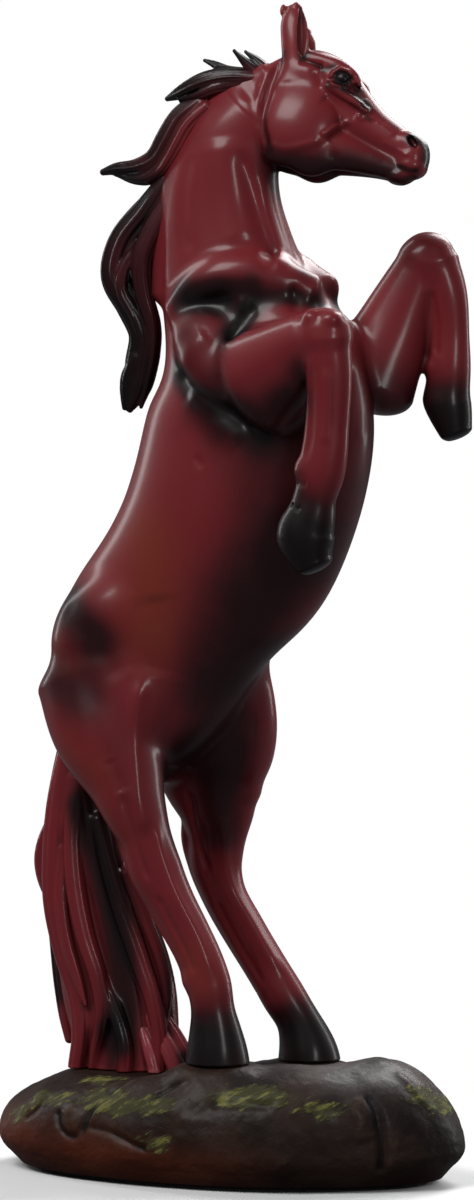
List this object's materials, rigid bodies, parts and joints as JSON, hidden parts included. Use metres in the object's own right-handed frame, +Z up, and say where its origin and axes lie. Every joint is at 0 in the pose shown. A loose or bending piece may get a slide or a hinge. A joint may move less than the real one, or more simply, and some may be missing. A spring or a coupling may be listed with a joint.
{
  "type": "horse figurine",
  "caption": "Tabletop statue of a rearing horse in glossy dark red resin, standing on its hind legs and tail on a mossy rock.",
  "frame": {"origin": "middle of the felt's underside, on the surface that the statue stands on", "axes": "+Z up, +X the way the horse faces, +Y to the horse's left"},
  "size_m": [0.126, 0.07, 0.3],
  "materials": {
    "resin_red": "satin lacquer over sprayed red with black airbrushed shading",
    "resin_dark": "satin lacquer over black airbrush on red",
    "rock": "lacquered cast rock with dry-brushed moss",
    "felt": "glued felt",
    "steel": "bare wire"
  },
  "bodies": {
    "root": {"rock_base": "rock", "felt_pad": "felt", "torso": "resin_red", "neck": "resin_red", "head": "resin_red", "right_foreleg": "resin_red", "left_foreleg": "resin_red", "right_hind_leg": "resin_red", "left_hind_leg": "resin_red", "mane_crest_lock": "resin_dark", "mane_poll_tuft": "resin_dark", "mane_flying_lock": "resin_red", "mane_lower_lock": "resin_dark", "tail": "resin_red", "tail_outer_lock": "resin_red", "tail_foot_lock": "resin_dark", "neck_pin": "steel", "head_pin": "steel", "right_foreleg_pin": "steel", "left_foreleg_pin": "steel", "tail_pin": "steel", "right_leg_wire": "steel", "left_leg_wire": "steel"}
  },
  "joints": []
}
